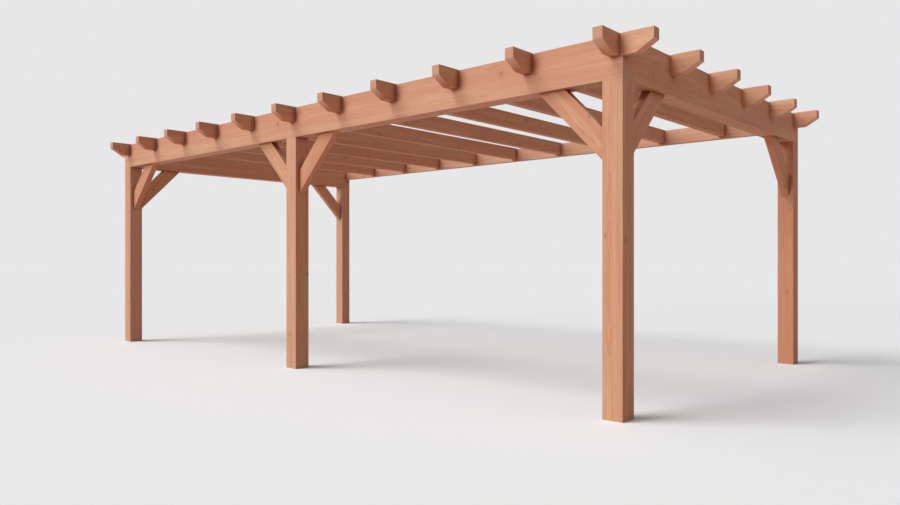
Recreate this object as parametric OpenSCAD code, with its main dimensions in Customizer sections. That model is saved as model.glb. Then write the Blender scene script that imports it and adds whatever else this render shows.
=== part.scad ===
// Lean-to veranda: an open timber frame with flush rafters, shaped tails and knee braces.
// Millimetres, +Z up, with the open front facing -Y.
// The origin is on the ground, under the middle of the frame's outer box.

/* [Overall] */
// Length over the outer faces of the end posts
length = 7000; // [5600:10:8400]
// Depth over the outer faces of the front and rear posts
depth = 3520; // [2800:10:4200]
// Clear height under the front and side beams
headroom = 2180; // [2000:10:2500]

/* [Posts and beams] */
// Side of the square posts, and the thickness of the front and side beams
post = 148; // [120:1:170]
// Height of the front and side beams
beam_h = 278; // [240:1:320]
// Thickness of the back beam
back_t = 70; // [60:5:90]
// Height of the back beam
back_h = 158; // [145:1:190]

/* [Rafters and tails] */
// Thickness of the rafters and tails
rafter_t = 72; // [55:1:85]
// Height of the rafters and tails
rafter_h = 142; // [120:1:155]
// How far the rafters and tails stand above the beams
rafter_proud = 6; // [0:1:12]
// How far the last tail of the front stands back from the right end of the front beam
rafter_inset = 20; // [0:1:30]
// How far a tail stands out from the face of its beam
tail_out = 214; // [160:1:260]
// Height of the upright end of a tail
tail_end = 74; // [45:1:95]
// Length of the level underside of a tail, next to the beam
tail_flat = 95; // [60:1:130]

/* [Knee braces] */
// Thickness of a brace
brace_t = 66; // [40:1:80]
// Width of a brace
brace_w = 152; // [110:1:170]
// Reach of a brace along the post and along the beam
brace_leg = 526; // [420:1:640]

/* [Joints] */
// Depth of the sockets that take the ends of braces, rafters and tails
socket = 20; // [10:1:25]
// Height of the stub tenons on the posts
tenon_h = 60; // [40:1:70]
// Thickness of the stub tenons
tenon_t = 45; // [35:1:60]
// Free depth over a tenon in its mortise
mortise_room = 4; // [2:1:10]
// Side clearance in every joint
fit_gap = 0.5; // [0.2:0.1:1]

/* [Hidden] */
// Which piece is drawn

// Levels
top = headroom + beam_h;
rafter_top = top + rafter_proud;
rafter_z = rafter_top - rafter_h;
back_z = top - back_h;

// Outer faces of the posts
left = -length / 2;
right = length / 2;
front = -(depth - tail_out) / 2;
back = front + depth;

// Spacing of the rafters and of the side tails
rafter_count = 9;
side_tail_count = 6;
rafter_pitch = (length - post - rafter_inset) / (rafter_count + 1);
side_pitch = (depth - back_t - rafter_t) / (side_tail_count - 1);

// Long side of a tenon, as a share of the post
tenon_w = 0.6 * post;
// Overrun of a cutting shape past the face that it opens
over = 1;

// Colours of the planed softwood
beam_colour = [0.80, 0.56, 0.43];
rafter_colour = [0.74, 0.49, 0.37];

// Centres of the posts: name and place on the ground
POSTS = [
    ["post_front_left", [left + post / 2, front + post / 2]],
    ["post_front_middle", [0, front + post / 2]],
    ["post_front_right", [right - post / 2, front + post / 2]],
    ["post_back_left", [left + post / 2, back - post / 2]],
    ["post_back_right", [right - post / 2, back - post / 2]],
];

// Knee braces: name, centre of the post and the way the brace runs from it, in degrees from +X
BRACES = [
    ["brace_front_left", POSTS[0][1], 0],
    ["brace_middle_left", POSTS[1][1], 180],
    ["brace_middle_right", POSTS[1][1], 0],
    ["brace_front_right", POSTS[2][1], 180],
    ["brace_left_front", POSTS[0][1], 90],
    ["brace_left_back", POSTS[3][1], -90],
    ["brace_right_front", POSTS[2][1], 90],
    ["brace_right_back", POSTS[4][1], -90],
];

// Sides that carry tails: name, x of the beam's outer face and the way out of it, in degrees from +X
SIDES = [
    ["left", left, 180],
    ["right", right, 0],
];

// Left face of rafter k: number 0, the left corner tail, is flush with the inner face of the left beam
function rafter_x(k) = left + post - rafter_t + k * rafter_pitch;

// Front face of side tail k: the first is flush with the front beam, the last ends at the back beam's face
function tail_y(k) = front + (k - 1) * side_pitch;

// Side outline of a timber that ends in a shaped tail: x outward from the beam's face, y up
module tail_outline(inward) {
    polygon([
        [-inward, rafter_z],
        [tail_flat, rafter_z],
        [tail_out, rafter_top - tail_end],
        [tail_out, rafter_top],
        [-inward, rafter_top],
    ]);
}

// The timber of rafter k, from its tail to a depth behind the front face
module rafter_timber(k, inward) {
    translate([rafter_x(k) + rafter_t, front, 0])
        rotate([90, 0, -90])
            linear_extrude(height = rafter_t)
                tail_outline(inward);
}

// Open slot for rafter k between two depths
module rafter_slot(k, from_y, to_y) {
    translate([rafter_x(k) - fit_gap, from_y, rafter_z])
        cube([rafter_t + 2 * fit_gap, to_y - from_y, rafter_h + over]);
}

// Sockets in which the side tails of one side sit
module tail_sockets(side) {
    for (k = [1 : side_tail_count])
        translate([side[1], tail_y(k) + rafter_t / 2, rafter_z])
            rotate(side[2])
                translate([-socket, -rafter_t / 2 - fit_gap, 0])
                    cube([socket + over, rafter_t + 2 * fit_gap, rafter_h + over]);
}

// Side outline of a brace: x from the post's face, y up from the beam's underside, both ends socketed
module brace_outline(grow) {
    outer_leg = brace_leg + grow;
    inner_leg = brace_leg - brace_w * sqrt(2) - grow;
    polygon([
        [-socket, -inner_leg - socket],
        [-socket, -outer_leg - socket],
        [outer_leg + socket, socket],
        [inner_leg + socket, socket],
    ]);
}

// The timber of a brace, or with a gap the shape that its sockets leave free
module brace_timber(brace, gap = 0) {
    translate([brace[1].x, brace[1].y, headroom])
        rotate(brace[2])
            translate([post / 2, 0, 0])
                rotate([90, 0, 0])
                    linear_extrude(height = brace_t + 2 * gap, center = true)
                        brace_outline(gap * sqrt(2));
}

// Stub tenon on a post, or with a gap the mortise for it
module tenon(centre, gap = 0, room = 0) {
    turn = centre.y < 0 ? 0 : 90;
    translate([centre.x, centre.y, headroom - over])
        rotate(turn)
            translate([-tenon_w / 2 - gap, -tenon_t / 2 - gap, 0])
                cube([tenon_w + 2 * gap, tenon_t + 2 * gap, tenon_h + room + over]);
}

// Square post with a stub tenon on top and a socket for each of its braces
module post_piece(centre) {
    color(beam_colour)
        difference() {
            union() {
                translate([centre.x - post / 2, centre.y - post / 2, 0])
                    cube([post, post, headroom]);
                tenon(centre);
            }
            for (b = BRACES)
                if (b[1] == centre)
                    brace_timber(b, fit_gap);
        }
}

// Front beam over three posts, slotted from above for the rafters and for the tongues of the side beams
module beam_front() {
    color(beam_colour)
        difference() {
            translate([left, front, headroom])
                cube([length, post, beam_h]);
            for (k = [0 : rafter_count + 1])
                rafter_slot(k, front - over, front + post + over);
            for (p = POSTS)
                if (p[1].y < 0)
                    tenon(p[1], fit_gap, mortise_room);
            for (b = BRACES)
                if (b[2] % 180 == 0)
                    brace_timber(b, fit_gap);
            for (s = SIDES)
                tail_sockets(s);
        }
}

// Side beam behind the front beam, with a tongue through the corner slot that ends in a tail
module beam_side(side, tongue) {
    inner_face = side[1] - (side[1] > 0 ? post : 0);
    color(beam_colour)
        difference() {
            union() {
                translate([inner_face, front + post, headroom])
                    cube([post, depth - post, beam_h]);
                rafter_timber(tongue, 2 * post);
            }
            translate([inner_face - over, front + post, top])
                cube([post + 2 * over, depth, rafter_proud + over]);
            back_beam_timber(fit_gap);
            tail_sockets(side);
            for (p = POSTS)
                if (p[1].y > 0 && p[1].x * side[1] > 0)
                    tenon(p[1], fit_gap, mortise_room);
            for (b = BRACES)
                if (b[2] % 180 != 0 && b[1].x * side[1] > 0)
                    brace_timber(b, fit_gap);
        }
}

// Plain timber of the back beam, or with a gap the sockets for its ends in the side beams
module back_beam_timber(gap = 0) {
    open = gap > 0 ? over : 0;
    translate([left + post - socket, back - back_t - gap, back_z])
        cube([length - 2 * (post - socket), back_t + gap + open, back_h + open]);
}

// Back beam between the side beams, with an open socket for the end of each rafter
module beam_back() {
    color(beam_colour)
        difference() {
            back_beam_timber();
            for (k = [1 : rafter_count])
                rafter_slot(k, back - back_t - over, back - back_t + socket);
        }
}

// Rafter from its tail, through the front beam, to its socket in the back beam
module rafter(k) {
    color(rafter_colour)
        rafter_timber(k, depth - back_t + socket);
}

// Knee brace
module brace(b) {
    color(beam_colour)
        brace_timber(b);
}

// Short tail on the outer face of a side beam
module side_tail(side, k) {
    color(rafter_colour)
        translate([side[1], tail_y(k) + rafter_t / 2, 0])
            rotate(side[2])
                rotate([90, 0, 0])
                    linear_extrude(height = rafter_t, center = true)
                        tail_outline(socket);
}

for (p = POSTS)
    post_piece(p[1]);
beam_front();
beam_side(SIDES[0], 0);  // beam_left
beam_side(SIDES[1], rafter_count + 1);  // beam_right
beam_back();
for (k = [1 : rafter_count])
    rafter(k);
for (b = BRACES)
    brace(b);
for (s = SIDES, k = [1 : side_tail_count])
    side_tail(s, k);
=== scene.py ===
"""Looks of the lean-to veranda: planed softwood, a pale floor, soft light and a camera.

Metres, +Z up, with the open front facing -Y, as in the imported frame.
"""

import math
import random

import bpy
from mathutils import Euler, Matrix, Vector

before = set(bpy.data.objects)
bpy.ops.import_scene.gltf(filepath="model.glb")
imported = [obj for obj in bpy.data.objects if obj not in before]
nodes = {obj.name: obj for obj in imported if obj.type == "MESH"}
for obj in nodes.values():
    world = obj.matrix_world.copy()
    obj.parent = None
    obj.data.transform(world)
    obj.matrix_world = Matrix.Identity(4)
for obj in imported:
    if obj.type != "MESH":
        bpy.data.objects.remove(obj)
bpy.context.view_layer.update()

# Camera: its place, its turn in degrees and its framing, with the image in pixels
IMAGE_WIDTH = 900
IMAGE_HEIGHT = 505
CAMERA_PLACE = (5.782, -5.785, 1.0367)
CAMERA_TILT = 90.0
CAMERA_YAW = 41.114
FOCAL_PIXELS = 731.6
IMAGE_CENTRE = (464.45, 258.62)
SENSOR_WIDTH = 36.0
CLIP_END = 300.0

# Lamps: name, the way the light travels, strength and apparent width in degrees
FROM_LEFT = (0.359, 0.428, -0.829)
FROM_FRONT = (0.306, 0.942, -0.139)
FROM_RIGHT = (-0.791, 0.212, -0.574)
LAMPS = (
    ("key", FROM_LEFT, 1.42, 27.0),
    ("wide", FROM_LEFT, 0.90, 66.0),
    ("front", FROM_FRONT, 1.33, 22.0),
    ("side", FROM_RIGHT, 0.30, 75.0),
)

# Backdrop and floor: how they are seen, and the light that they give
BACKDROP_COLOUR = (0.797, 0.799, 0.808)
BACKDROP_STRENGTH = 1.0
FILL_COLOUR = (0.93, 0.97, 1.0)
FILL_STRENGTH = 0.13
FLOOR_COLOUR = (0.940, 0.938, 0.943)
FLOOR_BOUNCE = (0.64, 0.42, 0.35)
FLOOR_REACH = 120.0

# Eased arrises, with angles in degrees
MERGE_REACH = 1e-5
FLAT_ANGLE = 1.0
EASED_WIDTH = 0.0025
EASED_SEGMENTS = 2
EASED_ANGLE = 30.0

# Turns that lay x along the grain, in degrees, and the way that each brace runs from its post
UPRIGHT = (0.0, -90.0, 0.0)
FRONT_TO_BACK = (0.0, 0.0, 90.0)
LEFT_TO_RIGHT = (0.0, 0.0, 0.0)
BRACE_SLOPE = -45.0
BRACE_WAYS = {
    "brace_front_left": 0.0,
    "brace_middle_left": 180.0,
    "brace_middle_right": 0.0,
    "brace_front_right": 180.0,
    "brace_left_front": 90.0,
    "brace_left_back": -90.0,
    "brace_right_front": 90.0,
    "brace_right_back": -90.0,
}

# Colours of the wood
TAN_COLOUR = (0.672, 0.407, 0.244)
SALMON_COLOUR = (0.634, 0.309, 0.190)
LATE_COLOUR = (0.447, 0.174, 0.089)
PALE_COLOUR = (0.596, 0.405, 0.328)
# Slanted cuts are near white, partly as pale sawn grain and partly as painted light on these downward
# faces
SAWN_AND_LIT_SLANT_COLOUR = (1.000, 0.860, 0.760)
END_COLOUR = (0.555, 0.325, 0.235)
# Painted shade: the colour that darkens and reddens the wood in inner corners
CORNER_SHADE_COLOUR = (0.48, 0.22, 0.13)
KNOT_COLOUR = (0.400, 0.160, 0.085)
RIM_COLOUR = (0.250, 0.092, 0.045)

# Noise in the wood: how fine it is along the grain and across it, and the part of its range that counts
WAVE_NOISE = (1.6, 14.0, 14.0)
RIPPLE_NOISE = (60.0, 60.0, 60.0)
FIBRE_NOISE = (9.0, 850.0, 850.0)
STREAK_NOISE = (3.2, 95.0, 95.0)
BAND_NOISE = (0.7, 24.0, 24.0)
CLOUD_NOISE = (1.1, 6.0, 6.0)
SCUFF_NOISE = (7.0, 30.0, 30.0)
NOISE_MIDDLE = (0.5, 0.5, 0.5)
NOISE_RANGE = (0.3, 0.7)
FIBRE_RANGE = (0.25, 0.75)
BAND_RANGE = (0.36, 0.64)

# Pith and growth rings: the pith wanders slowly, and the rings are wavy and uneven; a step for each seed
# gives every timber a place of its own in the noise
ACROSS = (0.0, 1.0, 1.0)
SEED_STEP = (7.31, 3.17, 5.73)
DRIFT_RATE = 0.55
DRIFT_REACH = 0.05
WAVE_REACH = 0.010
RING_WIDTH = 0.0042
UNEVEN_RATE = 38.0
UNEVEN_REACH = 5.0
RING_STOPS = ((0.0, 0.0), (0.35, 0.10), (0.78, 0.80), (0.93, 1.0), (1.0, 0.0))
WEAKEST_RING = 0.55

# Knots: whorls along the pith, branches that lean and thicken outward, and shares of a branch's radius
WHORL_GAP = 0.58
WHORL_ZONE = (0.3, 0.7)
WHORL_SPREAD = 0.025
WHORL_JUMP = 7.3
BRANCH_LEAN = 0.35
BRANCH_START = 0.35
BRANCH_GROWN = 0.12
KNOT_SHARE = 0.55
KNOT_POWER = 1.5
KNOT_SMALL = 0.004
KNOT_LARGE = 0.013
KNOT_FLATTEN = 0.8
KNOT_RIPPLE = 0.18
KNOT_EDGE = (0.70, 1.05)
KNOT_RINGS = 3.4
RIM_PLACE = 0.95
RIM_SHARPNESS = 4.5
HALO_END = 4.5
SWELL = 1.5

# Shares of each mark in the colour
LATE_SHARE = 0.36
STREAK_SHARE = 0.17
FIBRE_SHARE = 0.08
HALO_SHARE = 0.16
CLOUD_SHARE = 0.25
KNOT_COVER = 0.75
KNOT_RING_COVER = 0.45
RIM_COVER = 0.55
CUT_COVER = 0.65
ARRIS_COVER = 0.30

# Heartwood by its distance from the pith, cuts by how far they face along the grain, and a lighter band by
# an arris
HEART_EDGE = (0.10, 0.15)
CUT_RANGE = (0.10, 0.90)
SLANT_RANGE = (0.70, 1.0)
ARRIS_RAGGED = (-0.002, 0.003)
ARRIS_REACH = (0.0005, 0.0055)

# Painted shade in inner corners: how far it reaches, how closed a corner is, and the most that it covers
CORNER_REACH = 0.09
CORNER_RANGE = (0.40, 0.95)
CORNER_COVER = 0.75
CORNER_SAMPLES = 8

# Gloss and relief
SPECULAR = 0.2
ROUGHNESS = 0.66
LATE_GLOSS = 0.10
FIBRE_ROUGHNESS = (-0.05, 0.07)
CUT_ROUGHNESS = 0.12
KNOT_GLOSS = 0.16
ARRIS_GLOSS = 0.06
LATE_HEIGHT = 0.00010
FIBRE_HEIGHT = 0.00014
STREAK_HEIGHT = 0.00030
KNOT_HEIGHT = 0.00025
RIM_DEPTH = 0.00030

# Where the pith lies across a timber: how far from a post's middle at most, and for the others the nearest
# and farthest distance to one side, with the height
POST_PITH = 0.03
BEAM_PITH = (0.02, 0.05, 0.08)
BOARD_PITH = (0.05, 0.11, 0.06)

# Single timbers, by their name or their kind: seeds and piths chosen for their grain, lighter and redder
# timbers, hues that are settled instead of drawn, pale wood and heartwood, and the share of painted shade
# in corners
SEED_START = 0.6
SEED_GAP = 1.7
SEED = {"beam_front": 47.7, "beam_right": 28.6}
PITH = {"beam_front": (0.03, 0.10)}
TONE = 0.16
TONE_SPREAD = 0.06
# The tails are lighter as painted light, which makes up for the beams' shadow on their fronts
LIGHTER = {"tail": 0.28, "post_back_left": 0.15, "post_back_right": -0.08}
PINK_SPREAD = 0.15
# Rafters and tails are redder, partly as their wood's hue and partly as painted warm shade on their shaded
# faces
REDDER = {"rafter": 0.25, "tail": 0.10}
PINK = {
    "post_back_right": 0.75,
    "post_front_right": -0.10,
    "beam_front": -0.10,
    "brace_front_right": -0.12,
}
PALE = {
    "post_front_left": 0.22,
    "post_front_middle": 0.12,
    "post_back_left": 0.20,
    "beam_front": 0.12,
    # The back beam is paler, partly as its own wood and partly as painted light against the rafters'
    # shadow on it
    "beam_back": 0.20,
}
HEART = {"beam_front": 0.85}
# Shares of the painted shade in inner corners, by name or by kind
CORNER_SHADE = {"tail": 0.35, "beam_back": 0.25, "post_back_right": 0.4, "brace_right_back": 0.5}


class Tree:
    """A node tree with short calls for the nodes that the wood and the stage use."""

    def __init__(self, tree):
        self.tree = tree

    def node(self, kind, **settings):
        made = self.tree.nodes.new(kind)
        for name, value in settings.items():
            setattr(made, name, value)
        return made

    def put(self, socket, value):
        """Links a socket or sets a plain value on it, and leaves it as it is for None."""
        if isinstance(value, bpy.types.NodeSocket):
            self.tree.links.new(value, socket)
        elif value is not None:
            socket.default_value = value

    def math(self, operation, a, b=None, c=None, clamp=False):
        made = self.node("ShaderNodeMath", operation=operation, use_clamp=clamp)
        for socket, value in zip(made.inputs, (a, b, c)):
            self.put(socket, value)
        return made.outputs[0]

    def times(self, a, b):
        return self.math("MULTIPLY", a, b)

    def add(self, first, *others, clamp=False):
        """Sum of the values, of which a clamp keeps the last step between 0 and 1."""
        total = first
        for count, value in enumerate(others, start=1):
            total = self.math("ADD", total, value, clamp=clamp and count == len(others))
        return total

    def vector(self, operation, a, b=None):
        made = self.node("ShaderNodeVectorMath", operation=operation)
        self.put(made.inputs[0], a)
        self.put(made.inputs["Scale"] if operation == "SCALE" else made.inputs[1], b)
        return made.outputs["Value" if operation == "LENGTH" else "Vector"]

    def split(self, vector):
        made = self.node("ShaderNodeSeparateXYZ")
        self.put(made.inputs[0], vector)
        return made.outputs

    def join(self, x, y, z):
        made = self.node("ShaderNodeCombineXYZ")
        for socket, value in zip(made.inputs, (x, y, z)):
            self.put(socket, value)
        return made.outputs[0]

    def noise(self, place, detail=2.0, roughness=0.5):
        made = self.node("ShaderNodeTexNoise")
        self.put(made.inputs["Vector"], place)
        self.put(made.inputs["Scale"], 1.0)
        self.put(made.inputs["Detail"], detail)
        self.put(made.inputs["Roughness"], roughness)
        return made.outputs

    def grain(self, place, fineness, detail=2.0, roughness=0.5):
        """Noise that is drawn out along the grain."""
        return self.noise(self.vector("MULTIPLY", place, fineness), detail, roughness)["Fac"]

    def chance(self, a, b):
        """A number from 0 to 1 that only depends on two others."""
        made = self.node("ShaderNodeTexWhiteNoise", noise_dimensions="2D")
        self.put(made.inputs["Vector"], self.join(a, b, 0.0))
        return made.outputs["Value"]

    def range(self, value, low, high, to_low=0.0, to_high=1.0, smooth=False):
        kind = "SMOOTHSTEP" if smooth else "LINEAR"
        made = self.node("ShaderNodeMapRange", interpolation_type=kind)
        for socket, number in zip(made.inputs, (value, low, high, to_low, to_high)):
            self.put(socket, number)
        return made.outputs[0]

    def swing(self, value, limits, reach):
        """Takes the limits of a value to minus and plus a reach."""
        return self.range(value, *limits, -reach, reach)

    def mix(self, share, a, b, blend="MIX"):
        made = self.node("ShaderNodeMix", data_type="RGBA", blend_type=blend, clamp_factor=True)
        self.put(made.inputs["Factor"], share)
        for name, value in (("A", a), ("B", b)):
            socket = [s for s in made.inputs if s.name == name and s.type == "RGBA"][0]
            self.put(socket, value if isinstance(value, bpy.types.NodeSocket) else (*value, 1.0))
        return [s for s in made.outputs if s.type == "RGBA"][0]

    def ramp(self, value, stops):
        made = self.node("ShaderNodeValToRGB")
        made.color_ramp.interpolation = "EASE"
        elements = made.color_ramp.elements
        while len(elements) < len(stops):
            elements.new(0.5)
        for element, (place, level) in zip(elements, stops):
            element.position = place
            element.color = (level, level, level, 1.0)
        self.put(made.inputs[0], value)
        return made.outputs[0]


def grain_axes(tree, given):
    """A place moved by the seed, its run along the grain, and its distance and way out from the pith."""
    seed = given["Seed"]
    moved = tree.vector("ADD", given["Place"], tree.vector("SCALE", SEED_STEP, seed))
    along = tree.split(moved)[0]
    drift = tree.noise(tree.join(tree.times(along, DRIFT_RATE), seed, 0.0), detail=1.0)["Color"]
    wave = tree.noise(tree.vector("MULTIPLY", moved, WAVE_NOISE))["Color"]
    centred = tree.vector("SUBTRACT", given["Place"], given["Pith"])
    for bend, reach in ((drift, DRIFT_REACH), (wave, WAVE_REACH)):
        even = tree.vector("SUBTRACT", bend, NOISE_MIDDLE)
        centred = tree.vector("ADD", centred, tree.vector("SCALE", even, reach))
    across = tree.vector("MULTIPLY", centred, ACROSS)
    return moved, along, tree.vector("LENGTH", across), tree.vector("NORMALIZE", across)


def knots(tree, seed, moved, along, radius, outward):
    """Branches that leave the pith in whorls, one whorl to each stretch of the timber.

    Gives the distance from the nearest branch in its own radii, the shares of knot, rim and halo, and how
    far the rings swell round it.
    """
    stretch = tree.math("MULTIPLY_ADD", radius, -BRANCH_LEAN, along)
    stretch = tree.math("DIVIDE", stretch, WHORL_GAP)
    order = tree.math("FLOOR", stretch)
    level = tree.range(tree.chance(order, seed), 0.0, 1.0, *WHORL_ZONE)
    cells = tree.node("ShaderNodeTexVoronoi", feature="F1")
    jump = tree.join(tree.times(order, WHORL_JUMP), 0.0, 0.0)
    tree.put(cells.inputs["Vector"], tree.vector("ADD", outward, jump))
    tree.put(cells.inputs["Scale"], 1.0)
    draw = tree.node("ShaderNodeSeparateColor")
    tree.put(draw.inputs[0], cells.outputs["Color"])
    drawn_presence, drawn_size, drawn_level = draw.outputs

    branch = tree.vector("NORMALIZE", tree.vector("MULTIPLY", cells.outputs["Position"], ACROSS))
    turned = tree.vector("LENGTH", tree.vector("SUBTRACT", outward, branch))
    beside = tree.times(turned, radius)
    above = tree.math("SUBTRACT", tree.math("FRACT", stretch), level)
    above = tree.times(above, WHORL_GAP * KNOT_FLATTEN)
    above = tree.add(above, tree.swing(drawn_level, (0.0, 1.0), WHORL_SPREAD))
    reach = tree.vector("LENGTH", tree.join(beside, above, 0.0))

    size = tree.range(tree.math("POWER", drawn_size, KNOT_POWER), 0.0, 1.0, KNOT_SMALL, KNOT_LARGE)
    size = tree.times(size, tree.range(radius, 0.0, BRANCH_GROWN, BRANCH_START, 1.0))
    ripple = tree.swing(tree.grain(moved, RIPPLE_NOISE), NOISE_RANGE, KNOT_RIPPLE)
    near = tree.add(tree.math("DIVIDE", reach, size), ripple)

    present = tree.math("LESS_THAN", drawn_presence, KNOT_SHARE)
    knot = tree.times(tree.range(near, *KNOT_EDGE, 1.0, 0.0, smooth=True), present)
    rim = tree.times(tree.math("ABSOLUTE", tree.math("SUBTRACT", near, RIM_PLACE)), RIM_SHARPNESS)
    rim = tree.times(tree.math("SUBTRACT", 1.0, rim, clamp=True), present)
    halo = tree.times(tree.range(near, 1.0, HALO_END, 1.0, 0.0, smooth=True), present)
    swell = tree.times(tree.times(halo, halo), tree.times(size, SWELL))
    return near, knot, rim, halo, swell


def late_wood(tree, seed, grown):
    """Growth rings with a soft start and a sharp dark end, of uneven width and strength."""
    uneven = tree.noise(tree.join(tree.times(grown, UNEVEN_RATE), seed, 0.0))["Fac"]
    count = tree.add(tree.math("DIVIDE", grown, RING_WIDTH), tree.times(uneven, UNEVEN_REACH))
    late = tree.ramp(tree.math("FRACT", count), RING_STOPS)
    year = tree.chance(tree.math("FLOOR", count), seed)
    return tree.times(late, tree.range(year, 0.0, 1.0, WEAKEST_RING, 1.0))


def clear_colour(tree, given, moved, radius, late, fibre, streak, halo):
    """Colour of the clear wood: bands in two hues, darker in rings, streaks, fibres and near knots."""
    hue = tree.add(
        tree.range(tree.grain(moved, BAND_NOISE), *BAND_RANGE),
        tree.swing(tree.grain(moved, CLOUD_NOISE), NOISE_RANGE, CLOUD_SHARE),
        tree.times(tree.range(radius, *HEART_EDGE, 1.0, 0.0), given["Heart"]),
        given["Pink"],
        clamp=True,
    )
    dark = tree.add(
        tree.times(late, LATE_SHARE),
        tree.swing(streak, NOISE_RANGE, STREAK_SHARE),
        tree.swing(fibre, FIBRE_RANGE, FIBRE_SHARE),
        tree.times(halo, HALO_SHARE),
        given["Tone"],
        clamp=True,
    )
    colour = tree.mix(dark, tree.mix(hue, TAN_COLOUR, SALMON_COLOUR), LATE_COLOUR)
    return tree.mix(given["Pale"], colour, PALE_COLOUR)


def with_knots(tree, colour, near, knot, rim):
    """Knots over the clear wood, with rings of their own and a darker rim."""
    ring = tree.math("FRACT", tree.times(near, KNOT_RINGS))
    inner = tree.mix(tree.times(ring, KNOT_RING_COVER), KNOT_COLOUR, LATE_COLOUR)
    colour = tree.mix(tree.times(knot, KNOT_COVER), colour, inner)
    return tree.mix(tree.times(rim, RIM_COVER), colour, RIM_COLOUR)


def with_cuts(tree, colour, cut):
    """Sawn cuts across the grain: slanted ones are paler, partly as sawn grain and partly as painted
    light; square ends are duller.
    """
    sawn = tree.mix(tree.range(cut, *SLANT_RANGE), SAWN_AND_LIT_SLANT_COLOUR, END_COLOUR)
    return tree.mix(tree.times(cut, CUT_COVER), colour, sawn)


def arris_band(tree, given, moved):
    """Share of a lighter, glossier band along the arrises, by the distance to the nearest edge of the
    timber's box.
    """
    inside = tree.split(tree.vector("SUBTRACT", given["Half"], tree.vector("ABSOLUTE", given["Place"])))
    least = tree.math("MINIMUM", tree.math("MINIMUM", inside[0], inside[1]), inside[2])
    most = tree.math("MAXIMUM", tree.math("MAXIMUM", inside[0], inside[1]), inside[2])
    to_edge = tree.math("SUBTRACT", tree.math("SUBTRACT", tree.add(*inside), least), most)
    scuff = tree.grain(moved, SCUFF_NOISE, detail=3.0, roughness=0.6)
    ragged = tree.add(to_edge, tree.range(scuff, *NOISE_RANGE, *ARRIS_RAGGED))
    return tree.range(ragged, *ARRIS_REACH, 1.0, 0.0)


def painted_corner_shade(tree, share):
    """Painted shade in inner corners above the feet: ambient occlusion leaves the wood darker and redder
    there.
    """
    corner = tree.node("ShaderNodeAmbientOcclusion", samples=CORNER_SAMPLES)
    tree.put(corner.inputs["Distance"], CORNER_REACH)
    shaded = tree.range(corner.outputs["AO"], *CORNER_RANGE, CORNER_COVER, 0.0, smooth=True)
    height = tree.split(tree.node("ShaderNodeNewGeometry").outputs["Position"])[2]
    shaded = tree.times(shaded, tree.range(height, CORNER_REACH, 2 * CORNER_REACH))
    return tree.times(shaded, share)


def wood_group():
    """Planed softwood as a solid: rings about a pith, fibres along x and knots as cones from the pith."""
    group = bpy.data.node_groups.new("planed_softwood", "ShaderNodeTree")
    for name in ("Place", "Normal", "Pith", "Half"):
        group.interface.new_socket(name, in_out="INPUT", socket_type="NodeSocketVector")
    for name in ("Seed", "Tone", "Pink", "Pale", "Heart", "Painted shade"):
        group.interface.new_socket(name, in_out="INPUT", socket_type="NodeSocketFloat")
    group.interface.new_socket("Color", in_out="OUTPUT", socket_type="NodeSocketColor")
    for name in ("Roughness", "Height"):
        group.interface.new_socket(name, in_out="OUTPUT", socket_type="NodeSocketFloat")
    tree = Tree(group)
    given = tree.node("NodeGroupInput").outputs
    result = tree.node("NodeGroupOutput").inputs

    seed = given["Seed"]
    moved, along, radius, outward = grain_axes(tree, given)
    near, knot, rim, halo, swell = knots(tree, seed, moved, along, radius, outward)
    late = late_wood(tree, seed, tree.add(radius, swell))
    fibre = tree.grain(moved, FIBRE_NOISE, detail=3.0, roughness=0.6)
    streak = tree.grain(moved, STREAK_NOISE, detail=3.0, roughness=0.55)
    cut = tree.range(tree.math("ABSOLUTE", tree.split(given["Normal"])[0]), *CUT_RANGE)
    by_arris = arris_band(tree, given, moved)

    colour = clear_colour(tree, given, moved, radius, late, fibre, streak, halo)
    colour = with_knots(tree, colour, near, knot, rim)
    colour = with_cuts(tree, colour, cut)
    # A lighter tan band along the arrises
    colour = tree.mix(tree.times(by_arris, ARRIS_COVER), colour, TAN_COLOUR)
    # Painted shade: inner corners multiplied darker and redder
    colour = tree.mix(painted_corner_shade(tree, given["Painted shade"]), colour, CORNER_SHADE_COLOUR, blend="MULTIPLY")
    tree.put(result["Color"], colour)

    rough = tree.add(
        tree.math("MULTIPLY_ADD", late, -LATE_GLOSS, ROUGHNESS),
        tree.range(fibre, *FIBRE_RANGE, *FIBRE_ROUGHNESS),
        tree.times(cut, CUT_ROUGHNESS),
        tree.times(knot, -KNOT_GLOSS),
        tree.times(by_arris, -ARRIS_GLOSS),
        clamp=True,
    )
    tree.put(result["Roughness"], rough)

    height = tree.add(
        tree.times(late, LATE_HEIGHT),
        tree.times(fibre, FIBRE_HEIGHT),
        tree.times(streak, STREAK_HEIGHT),
        tree.times(knot, KNOT_HEIGHT),
        tree.times(rim, -RIM_DEPTH),
    )
    tree.put(result["Height"], height)
    return group


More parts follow.
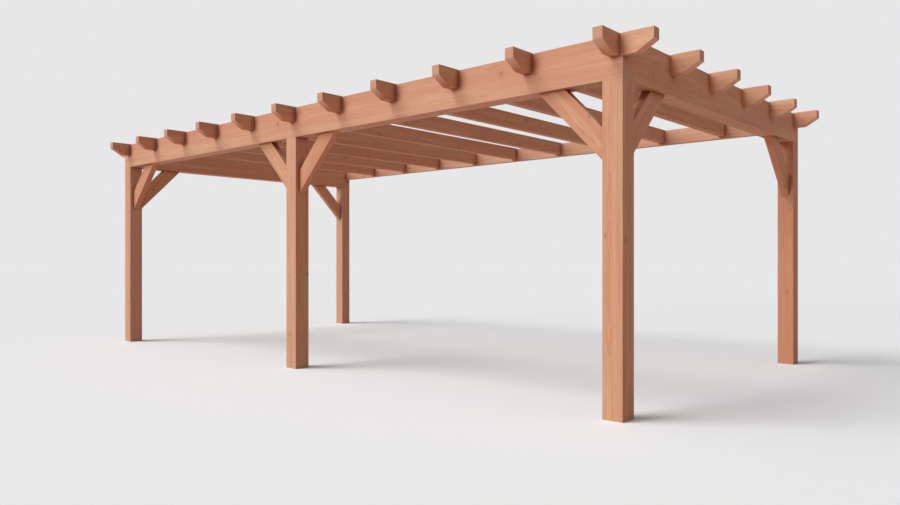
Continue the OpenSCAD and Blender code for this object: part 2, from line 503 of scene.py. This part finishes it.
def timber(name, wood_nodes, turn, centre, looks):
    """The wood of one timber, laid along its grain about its centre."""
    material = bpy.data.materials.new(f"planed_softwood_{name}")
    material.use_nodes = True
    tree = Tree(material.node_tree)
    spot = tree.node("ShaderNodeTexCoord").outputs
    place = tree.node("ShaderNodeMapping", vector_type="TEXTURE")
    tree.put(place.inputs["Vector"], spot["Object"])
    tree.put(place.inputs["Location"], centre)
    tree.put(place.inputs["Rotation"], turn)
    facing = tree.node("ShaderNodeMapping", vector_type="TEXTURE")
    tree.put(facing.inputs["Vector"], spot["Normal"])
    tree.put(facing.inputs["Rotation"], turn)
    wood = tree.node("ShaderNodeGroup", node_tree=wood_nodes)
    tree.put(wood.inputs["Place"], place.outputs[0])
    tree.put(wood.inputs["Normal"], facing.outputs[0])
    for socket, value in looks.items():
        tree.put(wood.inputs[socket], value)
    bump = tree.node("ShaderNodeBump")
    tree.put(bump.inputs["Height"], wood.outputs["Height"])
    tree.put(bump.inputs["Strength"], 1.0)
    tree.put(bump.inputs["Distance"], 1.0)
    shader = material.node_tree.nodes["Principled BSDF"]
    tree.put(shader.inputs["Base Color"], wood.outputs["Color"])
    tree.put(shader.inputs["Roughness"], wood.outputs["Roughness"])
    tree.put(shader.inputs["Normal"], bump.outputs[0])
    tree.put(shader.inputs["Specular IOR Level"], SPECULAR)
    return material


def turn_of(name):
    """The turn that lays x along a timber's grain, by its name."""
    if name in BRACE_WAYS:
        turn = (0.0, BRACE_SLOPE, BRACE_WAYS[name])
    elif name.startswith("post"):
        turn = UPRIGHT
    elif name.startswith("rafter") or name in ("beam_left", "beam_right"):
        turn = FRONT_TO_BACK
    else:
        turn = LEFT_TO_RIGHT
    return Euler([math.radians(angle) for angle in turn])


def own_box(obj, turn):
    """Centre of a timber, and its half sizes along its grain and across it."""
    lay = turn.to_matrix()
    back = lay.transposed()
    own = [back @ v.co for v in obj.data.vertices]
    low = Vector([min(values) for values in zip(*own)])
    high = Vector([max(values) for values in zip(*own)])
    return lay @ ((low + high) / 2), (high - low) / 2


def drawn_pith(kind, draw):
    """A place for the pith across a timber."""
    side = draw.choice((-1.0, 1.0))
    if kind == "post":
        return draw.uniform(-POST_PITH, POST_PITH), draw.uniform(-POST_PITH, POST_PITH)
    nearest, farthest, height = BEAM_PITH if kind == "beam" else BOARD_PITH
    return side * draw.uniform(nearest, farthest), draw.uniform(-height, height)


def ease(obj):
    """Joins the faces' corners and rounds the timber's arrises, without touching its mesh."""
    weld = obj.modifiers.new("joined_corners", "WELD")
    weld.merge_threshold = MERGE_REACH
    whole = obj.modifiers.new("whole_faces", "DECIMATE")
    whole.decimate_type = "DISSOLVE"
    whole.angle_limit = math.radians(FLAT_ANGLE)
    bevel = obj.modifiers.new("eased_arrises", "BEVEL")
    bevel.width = EASED_WIDTH
    bevel.segments = EASED_SEGMENTS
    bevel.limit_method = "ANGLE"
    bevel.angle_limit = math.radians(EASED_ANGLE)
    bevel.use_clamp_overlap = True
    obj.modifiers.new("even_shading", "WEIGHTED_NORMAL")


def dress():
    """Gives every timber its wood and its eased arrises."""
    wood_nodes = wood_group()
    for index, name in enumerate(sorted(nodes)):
        obj = nodes[name]
        kind = name.split("_")[0]
        turn = turn_of(name)
        centre, half = own_box(obj, turn)
        draw = random.Random(index + 1)
        pith = drawn_pith(kind, draw)
        tone = TONE + draw.uniform(-TONE_SPREAD, TONE_SPREAD)
        pink = REDDER.get(kind, 0.0) + draw.uniform(-PINK_SPREAD, PINK_SPREAD)
        looks = {
            "Half": half,
            "Pith": (0.0, *PITH.get(name, pith)),
            "Seed": SEED.get(name, SEED_START + index * SEED_GAP),
            "Tone": tone - LIGHTER.get(name, LIGHTER.get(kind, 0.0)),
            "Pink": PINK.get(name, pink),
            "Pale": PALE.get(name, 0.0),
            "Heart": HEART.get(name, 0.0),
            "Painted shade": CORNER_SHADE.get(name, CORNER_SHADE.get(kind, 1.0)),
        }
        obj.data.materials.clear()
        obj.data.materials.append(timber(name, wood_nodes, turn, centre, looks))
        ease(obj)


def seen_ray(tree):
    """1 for the rays that show a surface itself, 0 for those that only carry its light on."""
    path = tree.node("ShaderNodeLightPath").outputs
    seen = tree.math("MAXIMUM", path["Is Camera Ray"], path["Is Glossy Ray"])
    return tree.math("MAXIMUM", seen, path["Is Transmission Ray"])


def make_floor():
    """A plain pale floor that keeps the shadow."""
    mesh = bpy.data.meshes.new("floor")
    reach = FLOOR_REACH
    corners = [(-reach, -reach, 0), (reach, -reach, 0), (reach, reach, 0), (-reach, reach, 0)]
    mesh.from_pydata(corners, [], [(0, 1, 2, 3)])
    floor = bpy.data.objects.new("floor", mesh)
    bpy.context.scene.collection.objects.link(floor)
    material = bpy.data.materials.new("pale_floor")
    material.use_nodes = True
    tree = Tree(material.node_tree)
    shader = material.node_tree.nodes["Principled BSDF"]
    tree.put(shader.inputs["Base Color"], tree.mix(seen_ray(tree), FLOOR_BOUNCE, FLOOR_COLOUR))
    tree.put(shader.inputs["Roughness"], 1.0)
    tree.put(shader.inputs["Specular IOR Level"], 0.0)
    mesh.materials.append(material)


def make_lamps():
    """Soft, far lamps: a high key, a wider one with it, a low one in front and a weak one on the right."""
    for name, travel, strength, width in LAMPS:
        lamp = bpy.data.lights.new(name, "SUN")
        lamp.energy = strength
        lamp.angle = math.radians(width)
        made = bpy.data.objects.new(name, lamp)
        made.rotation_euler = Vector(travel).to_track_quat("-Z", "Y").to_euler()
        bpy.context.scene.collection.objects.link(made)


def background(tree, colour, strength):
    """A background of one colour."""
    made = tree.node("ShaderNodeBackground")
    tree.put(made.inputs["Color"], (*colour, 1.0))
    tree.put(made.inputs["Strength"], strength)
    return made.outputs[0]


def make_world():
    """A pale backdrop where it is seen, and a weak fill on everything else."""
    world = bpy.data.worlds.new("studio")
    bpy.context.scene.world = world
    world.use_nodes = True
    world.node_tree.nodes.clear()
    tree = Tree(world.node_tree)
    both = tree.node("ShaderNodeMixShader")
    tree.put(both.inputs[0], seen_ray(tree))
    tree.put(both.inputs[1], background(tree, FILL_COLOUR, FILL_STRENGTH))
    tree.put(both.inputs[2], background(tree, BACKDROP_COLOUR, BACKDROP_STRENGTH))
    tree.put(tree.node("ShaderNodeOutputWorld").inputs["Surface"], both.outputs[0])


def make_camera():
    """The camera at the viewing angle, level, with the shift that the framing needs."""
    lens = bpy.data.cameras.new("camera")
    lens.sensor_width = SENSOR_WIDTH
    lens.lens = FOCAL_PIXELS * SENSOR_WIDTH / IMAGE_WIDTH
    lens.shift_x = (IMAGE_WIDTH / 2 - IMAGE_CENTRE[0]) / IMAGE_WIDTH
    lens.shift_y = (IMAGE_CENTRE[1] - IMAGE_HEIGHT / 2) / IMAGE_WIDTH
    lens.clip_end = CLIP_END
    camera = bpy.data.objects.new("camera", lens)
    camera.location = CAMERA_PLACE
    camera.rotation_euler = (math.radians(CAMERA_TILT), 0.0, math.radians(CAMERA_YAW))
    bpy.context.scene.collection.objects.link(camera)
    bpy.context.scene.camera = camera


dress()
make_floor()
make_lamps()
make_world()
make_camera()
bpy.context.scene.view_settings.view_transform = "Standard"

bpy.context.view_layer.update()
